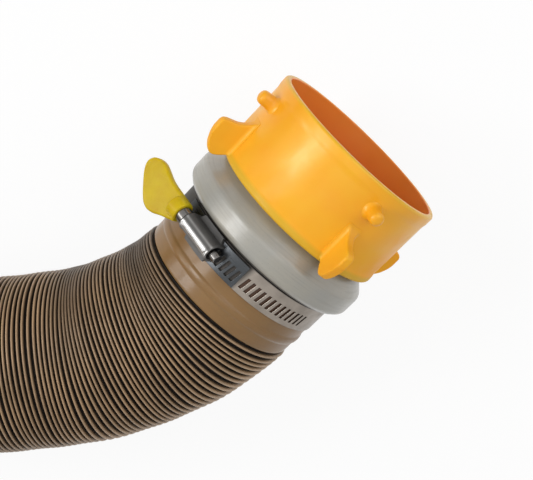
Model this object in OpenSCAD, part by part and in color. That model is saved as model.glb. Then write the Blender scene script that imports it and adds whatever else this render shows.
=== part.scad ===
// Sewer hose kit: a ribbed hose, pushed together and laid in a loose U, with a
// turning lug ring on its near end and a turning bayonet ring on its far end.
// The origin is the centre of the lug ring's mouth, +X points out of that mouth,
// and +Z is up. Both ends use the same fitting frame: X out of the mouth,
// Z up, and angles round X that start at Z and turn towards Y.

/* [Turning rings] */
// Outer diameter of both turning rings
ring_od = 96; // [90:1:104]
// Length of both turning rings
ring_len = 44.6; // [40:0.2:55]
// Wall of both turning rings
ring_wall = 3; // [2.4:0.2:3.6]
// Length of the inward lip at a ring's base
lip_len = 8; // [6:0.5:10]
// Depth of the step round a ring's base
base_step = 0.4; // [0.2:0.2:1.2]
// Length of the band at a ring's base
base_band = 4; // [3:0.5:14]

/* [Lugs] */
// Number of lugs, each a pin and a grip tab in one line
lug_count = 4; // [3:1:6]
// Angle of the first lug, from the top
lug_angle = 73; // [60:1:90]
// Diameter of a pin
pin_d = 7; // [5:0.5:9]
// Height of a pin over the ring
pin_h = 8; // [6:0.5:12]
// Distance of the pins from the mouth
pin_x = 12; // [9:0.5:18]
// Thickness of a grip tab
tab_t = 4.5; // [3:0.5:8]
// Length of a grip tab along the ring
tab_len = 17.5; // [14:0.5:24]
// Height of a grip tab over the ring
tab_h = 14; // [10:0.5:19]

/* [Couplers] */
// Outer diameter of a coupler's band
collar_od = 101.5; // [96:0.5:106]
// Length of a coupler's band
collar_band = 9.6; // [8:0.2:16]
// Space between a ring's bore and the neck that it turns on
neck_gap = 2.6; // [2:0.1:4]
// Bore of a coupler
coupler_bore = 70; // [60:1:72]
// Outer diameter of the spigot in the cuff
spigot_od = 77.6; // [75:0.2:79]
// Length of the spigot in the cuff
spigot_len = 30; // [22:1:31]
// Thickness of the washer between a coupler and its cuff
washer_t = 1.2; // [0.8:0.2:2.4]

/* [Hose] */
// Outer diameter over the ribs
hose_od = 90; // [86:1:94]
// Bore of the hose
hose_bore = 78; // [74:0.5:80]
// Depth of the groove between two ribs
rib_depth = 2.4; // [1.5:0.1:2.8]
// Number of ribs that are drawn
rib_count = 190; // [60:10:200]
// Outer diameter of the smooth cuffs
cuff_od = 88; // [85:0.5:92]
// Length of a smooth cuff
cuff_len = 32.1; // [28:0.1:36]
// Height of the bead round a cuff
bead_h = 0.7; // [0.4:0.1:1.2]

/* [Clamps] */
// Width of a clamp's band
band_w = 14; // [9:0.5:14.5]
// Thickness of a clamp's band
band_t = 0.8; // [0.6:0.1:1]
// Angle of a clamp's housing, from the top
clamp_angle = 40; // [20:1:60]
// Outer diameter of a clamp's screw
screw_d = 7; // [6:0.1:7.4]
// Lead of the screw's thread and spacing of the slots
thread_lead = 3.175; // [2.8:0.025:3.4]
// Number of slots cut in the band
slot_count = 13; // [8:1:16]
// Length of a screw's housing
housing_len = 21; // [16:1:24]
// Thickness of the key's blade
key_t = 4; // [3:0.5:5]
// Diameter of the key's barrel
key_barrel_d = 11; // [9.6:0.2:12]

/* [Far end] */
// Height of the bayonet hooks over the ring
hook_h = 10; // [8:0.5:12]
// Reach of the bayonet hooks past the mouth
hook_reach = 20; // [16:1:26]
// Slot of a bayonet hook, which takes a pin
hook_slot = 8; // [7.5:0.5:9.5]
// Thickness of the seal in the bayonet ring
seal_t = 5; // [3:0.5:7]

/* [Hidden] */
$fn = 96;

run_fit = 0.1;      // radial clearance of a part that turns
slip_fit = 0.1;     // radial clearance of parts that stay put
seat_fit = 0.05;    // clearance of a part that is seated on or in another
eps = 0.01;

// Stations along a fitting's axis, from the mouth at 0 towards the hose
ring_r = ring_od / 2;
ring_bore_r = ring_r - ring_wall;
neck_r = ring_bore_r - neck_gap;
lip_bore_r = neck_r + run_fit;
collar_r = collar_od / 2;
base_gap = 0.5;                                   // end play between a ring's base and the collar
cone_x = -ring_len - base_gap;
cone_end_x = cone_x - (collar_r - neck_r);        // a 45 degree cone
collar_end_x = cone_end_x - collar_band;
collar_chamfer = 2.65;
face_x = collar_end_x - collar_chamfer;           // face that the washer seats on
cuff_x = face_x - washer_t;
cuff_end_x = cuff_x - cuff_len;
cuff_r = cuff_od / 2;
cuff_bore_r = spigot_od / 2 + slip_fit;
lip_end_x = -ring_len + lip_len;                  // inner face of the lip
retainer_w = 2;
retainer_gap = 0.3;
retainer_x = lip_end_x + retainer_gap;
retainer_groove = 1.4;                            // depth of its groove in the neck
retainer_r = ring_bore_r - 0.5;
neck_front_x = retainer_x + retainer_w + 3;
seal_cord_d = 2.4;                                // section of the o-ring
seal_groove_w = seal_cord_d + 0.4;
seal_x = -ring_len + lip_len / 2;
seal_groove_r = lip_bore_r - seal_cord_d - 2 * seat_fit;

// Clamp
clamp_gap = 0.3;
clamp_x = cuff_x - clamp_gap - band_w / 2;        // middle of the band
band_in_r = cuff_r + seat_fit;
band_out_r = band_in_r + band_t;
saddle_t = 0.6;
saddle_in_r = band_out_r + seat_fit;
tail_in_r = saddle_in_r + saddle_t + run_fit;
tail_out_r = tail_in_r + band_t;
thread_gap = 0.15;                                // between the tail and the screw over it
screw_r = screw_d / 2;
screw_z = tail_out_r + thread_gap + screw_r;      // radius at which the screw lies
housing_wall = 0.9;
housing_in_r = screw_r + run_fit;
housing_out_r = housing_in_r + housing_wall;
slot_l = 8;
slot_w = 1.6;
slot_slant = -9;                                  // the slots follow a right-hand thread
slot_shift = -1;                                  // the row of slots lies nearer the hose
slots_from = -35;                                 // first slot, in degrees from the housing
tail_from = -31;
tail_to = 27;
screw_tip = -housing_len / 2 - 4;
key_start = housing_len / 2 + 4.5;
key_barrel_len = 7;
screw_head_r = 2.8;
screw_end = key_start + 5;                        // the head ends inside the key's barrel

// Hose route: hand-chosen points through the middle of the hose, in millimetres.
// The first and the last only set the directions of the two ends.
ROUTE = [
    [-75, 0, 0], [-99, 0, 0], [-123, 3, 0], [-146, 11, 0], [-168, 22, 0], [-188, 37, 0], [-207, 53, 0],
    [-225, 69, 0], [-254, 96, -3], [-284, 134, -8], [-303, 178, -13], [-309, 226, -16], [-301, 274, -17],
    [-277, 318, -17], [-240, 352, -17], [-195, 373, -17], [-146, 380, -17], [-92, 379, -17],
    [-36, 374, -17], [20, 366, -17], [76, 358, -17], [132, 352, -17], [188, 349, -16], [242, 348, -11],
    [290, 348, -5], [332, 348, -4], [372, 348, -4], [412, 348, -4], [452, 348, -4]];
far_clamp_turn = -65;                             // turns the far clamp round its cuff
route_last = len(ROUTE) - 2;
route_shift = [cuff_end_x - ROUTE[1][0], 0, 0];   // keeps the hose on its cuff
SPAN_STEPS = 12;

function unit(v) = v / norm(v);
function curve(p, i, t) =
    let (a = p[i - 1], b = p[i], c = p[i + 1], d = p[i + 2])
    route_shift + 0.5 * (2 * b + (c - a) * t + (2 * a - 5 * b + 4 * c - d) * t * t
        + (3 * b - a - 3 * c + d) * t * t * t);
// Finely sampled middle line, from the near cuff to the far one
LINE = concat(
    [for (i = [1 : route_last - 1]) for (k = [0 : SPAN_STEPS - 1]) curve(ROUTE, i, k / SPAN_STEPS)],
    [route_shift + ROUTE[route_last]]);
function run_lengths(p, i = 0, sum = 0, out = []) =
    i >= len(p) ? out
    : run_lengths(p, i + 1, i + 1 < len(p) ? sum + norm(p[i + 1] - p[i]) : sum, concat(out, [sum]));
RUNS = run_lengths(LINE);
hose_len = RUNS[len(RUNS) - 1];
function seek(s, lo, hi) =
    hi - lo <= 1 ? lo : let (m = floor((lo + hi) / 2)) RUNS[m] <= s ? seek(s, m, hi) : seek(s, lo, m);
function on_line(s) =
    let (i = seek(s, 0, len(RUNS) - 1), f = (s - RUNS[i]) / (RUNS[i + 1] - RUNS[i]))
    LINE[i] + (LINE[i + 1] - LINE[i]) * f;
function along(s) =
    s < 1 ? [-1, 0, 0]
    : s > hose_len - 1 ? [1, 0, 0]
    : unit(on_line(min(s + 1, hose_len - eps)) - on_line(s - 1));

// The hose's wall has eight flat sides, one of them facing down
HOSE_SIDES = 8;
flat_scale = 1 / cos(180 / HOSE_SIDES);
function hose_ring(s, r) =
    let (
        c = on_line(min(s, hose_len - eps)), t = along(s),
        side = unit(cross([0, 0, 1], t)), up = cross(t, side))
    [for (k = [0 : HOSE_SIDES - 1])
        let (a = (k + 0.5) * 360 / HOSE_SIDES) c + r * flat_scale * (cos(a) * side + sin(a) * up)];
hose_r = hose_od / 2;
bore_rings = 76;
rib_pitch = hose_len / rib_count;
OUTER = concat(
    [for (i = [0 : rib_count - 1])
        each [hose_ring(i * rib_pitch, hose_r - rib_depth), hose_ring((i + 0.5) * rib_pitch, hose_r)]],
    [hose_ring(hose_len, hose_r - rib_depth)]);
INNER = [for (i = [0 : bore_rings]) hose_ring(hose_len * (1 - i / bore_rings), hose_bore / 2)];
HOSE_RINGS = concat(OUTER, INNER);

// Least gap between two stretches of the hose that lie further apart along it than half a turn
gap_points = 60;
GAP_AT = [for (i = [0 : gap_points]) on_line(i / gap_points * (hose_len - eps))];
gap_skip = ceil(4 * hose_od / (hose_len / gap_points));
hose_gap = min([for (i = [0 : gap_points]) for (j = [i + gap_skip : 1 : gap_points])
    norm(GAP_AT[i] - GAP_AT[j])]) - hose_od;
echo(hose_length = hose_len, hose_gap_to_itself = hose_gap);

// The far fitting's mouth lies one fitting's length beyond the end of the hose
far_mouth = route_shift + ROUTE[route_last] - [cuff_end_x, 0, 0];
echo(far_mouth = far_mouth);

// ---- helpers ----

module turned(profile) {
    rotate([0, 90, 0]) rotate_extrude() polygon([for (p = profile) [p[1], p[0]]]);
}

module tube_x(from_x, to_x, outer_r, inner_r) {
    turned([[from_x, inner_r], [from_x, outer_r], [to_x, outer_r], [to_x, inner_r]]);
}

module at_far() {
    translate(far_mouth) children();
}

module at_far_clamp() {
    at_far() at_angle(far_clamp_turn) children();
}

module at_angle(a) {
    rotate([-a, 0, 0]) children();
}

// Clamp frame: X along the fitting, Y along the screw towards the key, Z outwards
module at_clamp() {
    translate([clamp_x, 0, 0]) at_angle(clamp_angle) children();
}

// A sector round X, from angle a0 to a1 seen from the fitting's frame
module sector(a0, a1, r, x0, x1) {
    steps = 6;
    arc = [for (i = [0 : steps]) let (a = a0 + (a1 - a0) * i / steps) [r * sin(a), r * cos(a)]];
    translate([x0, 0, 0]) rotate([90, 0, 90]) linear_extrude(x1 - x0) polygon(concat([[0, 0]], arc));
}

// ---- turning rings ----

// Both rings share the outside, the lip and the wider stretch that clears the retaining ring
relief = 1;
relief_x = neck_front_x + 1.5;

module ring_shell(inside) {
    rim = 1;
    mouth_band = 6;
    turned(concat(
        [[-ring_len, lip_bore_r], [-ring_len, ring_r - rim], [-ring_len + rim, ring_r],
         [-ring_len + base_band, ring_r], [-ring_len + base_band + base_step, ring_r - base_step],
         [-mouth_band, ring_r - base_step], [-mouth_band + base_step, ring_r], [-rim, ring_r],
         [0, ring_r - rim], [0, ring_bore_r]],
        inside,
        [[relief_x, ring_bore_r], [relief_x, ring_bore_r + relief], [lip_end_x, ring_bore_r + relief],
         [lip_end_x, lip_bore_r]]));
}

module lug_pin() {
    tip_round = 1;
    sink = ring_wall / 2;
    from_r = ring_r - sink;
    translate([-pin_x, 0, from_r]) rotate_extrude($fn = 48)
        polygon([
            [0, 0], [pin_d / 2, 0], [pin_d / 2, sink + pin_h - tip_round],
            [pin_d / 2 - tip_round, sink + pin_h], [0, sink + pin_h]]);
}

// The tab's outline in the plane of the axis, from its foot at the ring's base round to its
// foot in front: shares of its length and of its height. It leans back over the coupler's cone.
tab_over = 2.8;
TAB = [
    [0.25, -0.1], [0.25, 0], [0.115, 0.2], [0.02, 0.39], [0, 0.5], [0.035, 0.63], [0.18, 0.8],
    [0.42, 0.935], [0.63, 1], [0.91, 1], [1, 0.87], [1.09, 0.43], [1.2, 0.21], [1.34, -0.1]];

module grip_tab() {
    translate([-ring_len - tab_over, tab_t / 2, 0]) rotate([90, 0, 0]) linear_extrude(tab_t)
        polygon([for (p = TAB) [p[0] * tab_len, ring_r + p[1] * tab_h]]);
}

module swivel_ring() {
    color("#f2a81c") {
        ring_shell([]);
        for (i = [0 : lug_count - 1]) at_angle(lug_angle + i * 360 / lug_count) {
            lug_pin();
            grip_tab();
        }
    }
}

// Bayonet ring: the same shell with a front flange and hooks that take the pins
flange_t = 4;
hook_in_r = ring_r + 2.6;
hook_out_r = ring_r + hook_h;
hook_foot = 5;
hook_leg_deg = 12;
hook_foot_deg = 34;
seal_front_x = -10;
seal_back_x = seal_front_x - seal_t - 2 * seat_fit;
seal_seat_r = ring_bore_r + 1;

module hook_band(x0, x1, a0, a1) {
    intersection() {
        tube_x(x0, x1, hook_out_r, hook_in_r);
        sector(a0, a1, 2 * hook_out_r, x0 - 1, x1 + 1);
    }
}

module bayonet_ring() {
    ledge_r = ring_bore_r - 4;
    ledge_t = 4;
    color("#f2a81c") at_far() {
        ring_shell([
            [seal_front_x, ring_bore_r], [seal_front_x, seal_seat_r], [seal_back_x, seal_seat_r],
            [seal_back_x, ledge_r], [seal_back_x - ledge_t, ledge_r], [seal_back_x - ledge_t, ring_bore_r]]);
        tube_x(-flange_t, 0, hook_out_r, ring_r - ring_wall / 2);
        for (i = [0 : lug_count - 1]) at_angle(i * 360 / lug_count - (hook_leg_deg + hook_foot_deg) / 2) {
            hook_band(-flange_t / 2, hook_slot + hook_foot, 0, hook_leg_deg);
            hook_band(hook_slot, hook_slot + hook_foot, 0, hook_foot_deg);
            hook_band(hook_slot, hook_reach, 0, hook_leg_deg / 2);
        }
        for (i = [0 : lug_count - 1]) at_angle((i + 0.5) * 360 / lug_count) grip_rib();
    }
}

module grip_rib() {
    rib_x = -ring_len + base_band + 4;
    rib_out_r = hook_out_r - 3;
    translate([0, tab_t / 2, 0]) rotate([90, 0, 0]) linear_extrude(tab_t)
        polygon([
            [rib_x, ring_r - ring_wall / 2], [rib_x + 5, rib_out_r - 2], [rib_x + 8, rib_out_r],
            [-flange_t / 2, rib_out_r], [-flange_t / 2, ring_r - ring_wall / 2]]);
}

module bayonet_seal() {
    outer_r = seal_seat_r - seat_fit;
    inner_r = ring_bore_r - 8;
    front = seal_back_x + seat_fit + seal_t;
    color("#202020") at_far()
        turned([
            [front - seal_t, inner_r], [front - seal_t, outer_r], [front, outer_r], [front, ring_bore_r - 3],
            [front - 1.5, inner_r]]);
}

// ---- couplers ----

module coupler_shape() {
    rim = 1.2;
    bore_r = coupler_bore / 2;
    spigot_r = spigot_od / 2;
    barb = 0.9;
    barb_len = 8;
    spigot_end_x = face_x - washer_t - spigot_len;
    barb_x = spigot_end_x + barb_len;
    groove_x = seal_x - seal_groove_w / 2;
    turned([
        [spigot_end_x, bore_r], [spigot_end_x, spigot_r - 1.5], [spigot_end_x + 1.5, spigot_r],
        [barb_x, spigot_r], [barb_x, spigot_r - barb], [barb_x + barb_len / 2, spigot_r],
        [barb_x + barb_len, spigot_r], [barb_x + barb_len, spigot_r - barb],
        [barb_x + 1.5 * barb_len, spigot_r],
        [face_x, spigot_r], [face_x, collar_r - collar_chamfer], [collar_end_x, collar_r],
        [cone_end_x, collar_r], [cone_x, neck_r],
        [groove_x, neck_r], [groove_x, seal_groove_r], [groove_x + seal_groove_w, seal_groove_r],
        [groove_x + seal_groove_w, neck_r],
        [retainer_x - slip_fit, neck_r], [retainer_x - slip_fit, neck_r - retainer_groove],
        [retainer_x + retainer_w + slip_fit, neck_r - retainer_groove],
        [retainer_x + retainer_w + slip_fit, neck_r],
        [neck_front_x - rim, neck_r], [neck_front_x, neck_r - rim], [neck_front_x, bore_r]]);
}

module coupler() {
    color("#9c9c98") coupler_shape();
}

module far_coupler() {
    color("#9c9c98") at_far() coupler_shape();
}

module o_ring_shape() {
    rotate([0, 90, 0]) rotate_extrude() translate([seal_groove_r + seal_cord_d / 2 + seat_fit, seal_x])
        circle(d = seal_cord_d, $fn = 24);
}

module swivel_o_ring() {
    color("#181818") o_ring_shape();
}

module far_o_ring() {
    color("#181818") at_far() o_ring_shape();
}

// Split spring ring that keeps a turning ring on its neck
module retaining_ring_shape() {
    gap_deg = 8;
    difference() {
        tube_x(retainer_x, retainer_x + retainer_w, retainer_r, neck_r - retainer_groove + seat_fit);
        sector(180 - gap_deg / 2, 180 + gap_deg / 2, 2 * retainer_r,
            retainer_x - 1, retainer_x + retainer_w + 1);
    }
}

module swivel_retaining_ring() {
    color("#c8ccd0") retaining_ring_shape();
}

module far_retaining_ring() {
    color("#c8ccd0") at_far() retaining_ring_shape();
}

module washer_shape() {
    tube_x(cuff_x, face_x, saddle_in_r - slip_fit, cuff_bore_r);
}

module cuff_washer() {
    color("#141414") washer_shape();
}

module far_cuff_washer() {
    color("#141414") at_far() washer_shape();
}

// ---- hose ----

module cuff_shape() {
    rim = 0.6;
    bead_w = 3.2;
    bead_x = cuff_end_x + 9.5;
    step_x = cuff_x - spigot_len - 0.3;           // where the bore narrows to the hose's
    turned([
        [cuff_end_x, hose_bore / 2], [cuff_end_x, cuff_r - rim], [cuff_end_x + rim, cuff_r],
        [bead_x - bead_w / 2, cuff_r], [bead_x - bead_w / 6, cuff_r + bead_h],
        [bead_x + bead_w / 6, cuff_r + bead_h], [bead_x + bead_w / 2, cuff_r],
        [cuff_x - rim, cuff_r], [cuff_x, cuff_r - rim], [cuff_x, cuff_bore_r],
        [step_x, cuff_bore_r], [step_x, hose_bore / 2]]);
}

module hose_cuff() {
    color("#8a6748") cuff_shape();
}

module far_hose_cuff() {
    color("#8a6748") at_far() cuff_shape();
}

module hose_wall() {
    n = len(HOSE_RINGS);
    points = [for (r = HOSE_RINGS) each r];
    faces = [for (i = [0 : n - 1]) for (k = [0 : HOSE_SIDES - 1])
        let (
            j = (i + 1) % n, m = (k + 1) % HOSE_SIDES,
            a = i * HOSE_SIDES + k, b = i * HOSE_SIDES + m,
            c = j * HOSE_SIDES + m, d = j * HOSE_SIDES + k)
        each [[a, b, c], [a, c, d]]];
    color("#8a6748") polyhedron(points = points, faces = faces, convexity = 20);
}

// ---- clamps ----

module slots(first, count, r) {
    pitch = thread_lead / r * 180 / PI;
    for (i = [0 : count - 1]) rotate([-(first - i * pitch), 0, 0]) translate([slot_shift, 0, r])
        rotate([0, 0, slot_slant]) cube([slot_l, slot_w, 4 * band_t], center = true);
}

module clamp_band_shape() {
    at_clamp() difference() {
        tube_x(-band_w / 2, band_w / 2, band_out_r, band_in_r);
        slots(slots_from, slot_count, band_in_r);
    }
}

module clamp_tail_shape() {
    tail_slots = 14;
    tail_w = band_w - 1;
    at_clamp() difference() {
        intersection() {
            tube_x(-tail_w / 2, tail_w / 2, tail_out_r, tail_in_r);
            sector(tail_from, tail_to, 2 * tail_out_r, -band_w, band_w);
        }
        slots(tail_to - 3, tail_slots, tail_in_r);
    }
}

// Strap between the band and its tail, with two legs that hold the housing
module clamp_saddle_shape() {
    leg_x = band_w / 2 + 0.15;
    strap_l = 14;
    at_clamp() intersection() {
        translate([-band_w, -strap_l / 2, 0]) cube([2 * band_w, strap_l, 2 * tail_out_r]);
        turned([
            [-leg_x - saddle_t, saddle_in_r], [-leg_x - saddle_t, tail_out_r], [-leg_x, tail_out_r],
            [-leg_x, saddle_in_r + saddle_t], [leg_x, saddle_in_r + saddle_t], [leg_x, tail_out_r],
            [leg_x + saddle_t, tail_out_r], [leg_x + saddle_t, saddle_in_r]]);
    }
}

module clamp_housing_shape() {
    half = housing_len / 2;
    foot_r = tail_out_r + seat_fit;
    foot_w = band_w / 2 + 0.75;
    at_clamp() {
        difference() {
            union() {
                translate([0, -half, screw_z]) rotate([-90, 0, 0])
                    cylinder(r = housing_out_r, h = housing_len);
                translate([-housing_out_r, -half, 0]) cube([2 * housing_out_r, housing_len, screw_z]);
                translate([-foot_w, -half + 2, 0]) cube([2 * foot_w, housing_len - 4, foot_r + 0.9]);
            }
            translate([0, -half - 1, screw_z]) rotate([-90, 0, 0])
                cylinder(r = housing_in_r, h = housing_len + 2);
            translate([-housing_in_r, -half - 1, 0]) cube([2 * housing_in_r, housing_len + 2, screw_z]);
            translate([-2 * band_w, 0, 0]) rotate([0, 90, 0])
                cylinder(r = foot_r, h = 4 * band_w, $fn = 180);
        }
    }
}

module clamp_screw_shape() {
    core_r = screw_r - 0.7;
    threads = floor((housing_len - 4) / thread_lead);
    start = -threads * thread_lead / 2;
    neck_r_screw = 2.4;
    at_clamp() translate([0, 0, screw_z]) rotate([-90, 0, 0]) rotate_extrude($fn = 64)
        polygon(concat(
            [[0, screw_tip], [neck_r_screw, screw_tip], [neck_r_screw, start - 1], [core_r, start - 1]],
            [for (i = [0 : threads - 1]) each [
                [core_r, start + (i + 0.15) * thread_lead], [screw_r, start + (i + 0.35) * thread_lead],
                [screw_r, start + (i + 0.65) * thread_lead], [core_r, start + (i + 0.85) * thread_lead]]],
            [[core_r, -start + 1], [neck_r_screw, -start + 1], [neck_r_screw, housing_len / 2 + 0.6],
             [screw_r + 0.6, housing_len / 2 + 0.6], [screw_r + 0.6, key_start - 0.05],
             [screw_head_r, key_start - 0.05], [screw_head_r, screw_end], [0, screw_end]]));
}

// Flat blade with a barrel that is moulded round the screw's head
module clamp_key_shape() {
    blade = [
        [0, -5.6], [3, -7.4], [7, -9.3], [11, -11.8], [15, -12.9], [18.5, -12.1], [22, -9.7], [26, -6.3],
        [30, -2.6], [32, 0.4], [32.4, 3], [31, 5.8], [27.5, 7.8], [24, 8.3], [20, 7.4], [16, 6.2],
        [12, 5.7], [6, 5.6], [0, 5.5]];
    hole_r = screw_head_r + 0.02;
    at_clamp() translate([0, key_start, screw_z]) difference() {
        union() {
            rotate([-90, 0, 0]) cylinder(d = key_barrel_d, h = key_barrel_len);
            translate([0, 0, -key_t / 2]) linear_extrude(key_t)
                polygon([for (p = blade) [p[1], p[0] + 1]]);
        }
        translate([0, -1, 0]) rotate([-90, 0, 0]) cylinder(r = hole_r, h = screw_end - key_start + 1.05);
    }
}

module clamp_band() {
    color("#b9bcc0") clamp_band_shape();
}

module clamp_tail() {
    color("#a9adb2") clamp_tail_shape();
}

module clamp_saddle() {
    color("#8f9398") clamp_saddle_shape();
}

module clamp_housing() {
    color("#c9ccd0") clamp_housing_shape();
}

module clamp_screw() {
    color("#7f8388") clamp_screw_shape();
}

module clamp_key() {
    color("#d8bf2a") clamp_key_shape();
}

module far_clamp_band() {
    color("#b9bcc0") at_far_clamp() clamp_band_shape();
}

module far_clamp_tail() {
    color("#a9adb2") at_far_clamp() clamp_tail_shape();
}

module far_clamp_saddle() {
    color("#8f9398") at_far_clamp() clamp_saddle_shape();
}

module far_clamp_housing() {
    color("#c9ccd0") at_far_clamp() clamp_housing_shape();
}

module far_clamp_screw() {
    color("#7f8388") at_far_clamp() clamp_screw_shape();
}

module far_clamp_key() {
    color("#d8bf2a") at_far_clamp() clamp_key_shape();
}

swivel_ring();
swivel_o_ring();
swivel_retaining_ring();
coupler();
cuff_washer();
hose_cuff();
clamp_band();
clamp_tail();
clamp_saddle();
clamp_housing();
clamp_screw();
clamp_key();
hose_wall();
far_hose_cuff();
far_cuff_washer();
far_coupler();
far_o_ring();
far_retaining_ring();
bayonet_ring();
bayonet_seal();
far_clamp_band();
far_clamp_tail();
far_clamp_saddle();
far_clamp_housing();
far_clamp_screw();
far_clamp_key();
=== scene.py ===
"""Sewer hose kit: the visible surfaces and finishes of its pieces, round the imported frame."""

import bpy
import numpy as np
from bpy.props import FloatProperty, FloatVectorProperty, IntProperty, PointerProperty
from mathutils import Matrix, Vector


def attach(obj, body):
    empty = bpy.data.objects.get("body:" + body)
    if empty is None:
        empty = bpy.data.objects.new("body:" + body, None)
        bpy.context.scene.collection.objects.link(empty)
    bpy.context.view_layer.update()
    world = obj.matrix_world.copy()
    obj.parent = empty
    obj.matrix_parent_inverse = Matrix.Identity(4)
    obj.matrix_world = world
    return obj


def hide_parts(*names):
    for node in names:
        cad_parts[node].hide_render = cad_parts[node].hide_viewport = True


bl_info = {
    "name": "Sewer Hose Kit",
    "version": (1, 0, 0),
    "blender": (4, 5, 0),
    "location": "View3D > Sidebar > Hose Kit",
    "description": "Surfaces and finishes of a sewer hose kit, laid round its CAD frame",
    "category": "Object",
}

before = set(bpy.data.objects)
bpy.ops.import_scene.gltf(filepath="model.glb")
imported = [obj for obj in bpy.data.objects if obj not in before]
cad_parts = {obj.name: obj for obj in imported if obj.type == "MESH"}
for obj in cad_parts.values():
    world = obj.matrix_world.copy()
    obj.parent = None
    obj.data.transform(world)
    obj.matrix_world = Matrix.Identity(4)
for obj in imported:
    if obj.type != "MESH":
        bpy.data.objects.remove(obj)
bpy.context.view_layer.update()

MM = 0.001
NEAR_MOUTH = np.zeros(3)
FAR_MOUTH = np.array([0.511, 0.348, -0.004])

# Stations along a fitting, in millimetres from its mouth, as in the part's source
RING_R, RING_BORE_R, BASE_X, LIP_X, RELIEF_X = 48.0, 45.0, -44.6, -36.6, -29.8
NECK_R, COLLAR_R, CONE_X, CONE_END_X, COLLAR_END_X, FACE_X = 42.4, 50.75, -45.1, -53.45, -63.05, -65.7
CUFF_X, CUFF_END_X, CUFF_R, SPIGOT_R = -66.9, -99.0, 44.0, 38.8
CLAMP_X, BAND_IN_R, BAND_T, TAIL_IN_R, SCREW_AT_R = -74.2, 44.05, 0.8, 45.6, 50.05
HOSE_R, HOSE_BORE_R = 45.0, 39.0
THREAD_LEAD, SLOT_X = 3.175, (-4.4, 2.0)
# The second value is how much painted shade a clamp strip takes on its outside.
SLOT_HALF, STRIP_SHADE = 0.8, 0.8
LINER_R, LUG_DEG, HOOK_R = 40.8, 73, 54.3
FLOOR_WIDTH, FLOOR_Z, STRIP_ROUND = 6.0, -0.0632, 0.00018

# Each end: what its names start with, the centre of its mouth, and the angle of its clamp's housing
ENDS = (("", NEAR_MOUTH, 40.0), ("far_", FAR_MOUTH, -25.0))

# Middle line of the hose, in metres, the same points as in the part's source
ROUTE = MM * np.array([
    [-75, 0, 0], [-99, 0, 0], [-123, 3, 0], [-146, 11, 0], [-168, 22, 0], [-188, 37, 0], [-207, 53, 0],
    [-225, 69, 0], [-254, 96, -3], [-284, 134, -8], [-303, 178, -13], [-309, 226, -16], [-301, 274, -17],
    [-277, 318, -17], [-240, 352, -17], [-195, 373, -17], [-146, 380, -17], [-92, 379, -17],
    [-36, 374, -17], [20, 366, -17], [76, 358, -17], [132, 352, -17], [188, 349, -16], [242, 348, -11],
    [290, 348, -5], [332, 348, -4], [372, 348, -4], [412, 348, -4], [452, 348, -4]], float)


# ---- sizes and colours that a user may change ----

def length(name, description, default, least, most):
    return FloatProperty(name=name, description=description, default=default, min=least, max=most,
                         unit="LENGTH")


class HoseKitSizes(bpy.types.PropertyGroup):
    rib_pitch: length("Rib pitch", "Distance from one rib to the next along the middle of the hose",
                      0.00254, 0.0015, 0.006)
    rib_width: length("Rib width", "Width of one rib", 0.00145, 0.0008, 0.003)
    fold_depth: length("Fold depth", "Depth of the folds between the ribs", 0.0034, 0.001, 0.004)
    near_turns: IntProperty(
        name="Fine turns", description="Turns of the rib nearest the lug ring that are drawn most finely",
        default=70, min=20, max=72)


def colour(name, description, *default):
    return FloatVectorProperty(name=name, description=description, subtype="COLOR", size=3, min=0, max=1,
                               default=default)


class HoseKitColours(bpy.types.PropertyGroup):
    ring: colour("Ring", "Colour of the turning rings", 0.86, 0.41, 0.012)
    # Painted shade: the red-orange that stands for the shade inside the rings' bores.
    ring_inside_shade: colour("Ring inside", "Deeper colour inside the turning rings", 0.98, 0.235, 0.05)
    coupler: colour("Coupler", "Colour of the couplers", 0.308, 0.299, 0.266)
    rib: colour("Rib", "Colour of the hose's ribs", 0.34, 0.222, 0.124)
    # Painted shade: the near black that stands for the shade down in the folds.
    fold: colour("Fold", "Colour of the folds between the ribs", 0.012, 0.007, 0.004)
    cuff: colour("Cuff", "Colour of the smooth cuffs", 0.215, 0.117, 0.041)
    key: colour("Key", "Colour of the thumb keys", 0.585, 0.425, 0.010)


def sizes():
    return bpy.context.scene.hose_kit_sizes


def colours():
    return bpy.context.scene.hose_kit_colours


# ---- surfaces: a shell is a pair of its points and a list of face tables ----

def circle(steps):
    """Angles round a full turn, in radians."""
    return np.linspace(0, 2 * np.pi, steps, endpoint=False)


def columns(table):
    """The columns of a table, each upright."""
    return np.asarray(table, float).T[..., None]


def grid_quads(rows, cols, wrap_rows=False, wrap_cols=False):
    """Quads between neighbouring points of a grid that is stored row by row."""
    i, j = np.meshgrid(np.arange(rows if wrap_rows else rows - 1),
                       np.arange(cols if wrap_cols else cols - 1), indexing="ij")
    i2, j2 = (i + 1) % rows, (j + 1) % cols
    return np.stack([i * cols + j, i * cols + j2, i2 * cols + j2, i2 * cols + j], -1).reshape(-1, 4)


def outward(points, faces):
    """The same faces, turned round if the volume that they enclose comes out negative."""
    volume = 0.0
    for table in faces:
        a = points[table[:, 0]]
        for k in range(1, table.shape[1] - 1):
            b, c = points[table[:, k]], points[table[:, k + 1]]
            volume += np.einsum("ij,ij->i", a, np.cross(b, c)).sum()
    return [table[:, ::-1] for table in faces] if volume < 0 else faces


def tube(rings, wrap=False):
    """A closed shell through a stack of rings. Flat ends close it, unless the stack itself wraps round."""
    rings = np.asarray(rings, float)
    rows, cols = rings.shape[:2]
    faces = [grid_quads(rows, cols, wrap, True)]
    if not wrap:
        ends = np.arange(cols)
        faces += [ends[None, ::-1], ends[None] + (rows - 1) * cols]
    return rings.reshape(-1, 3), faces


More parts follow.
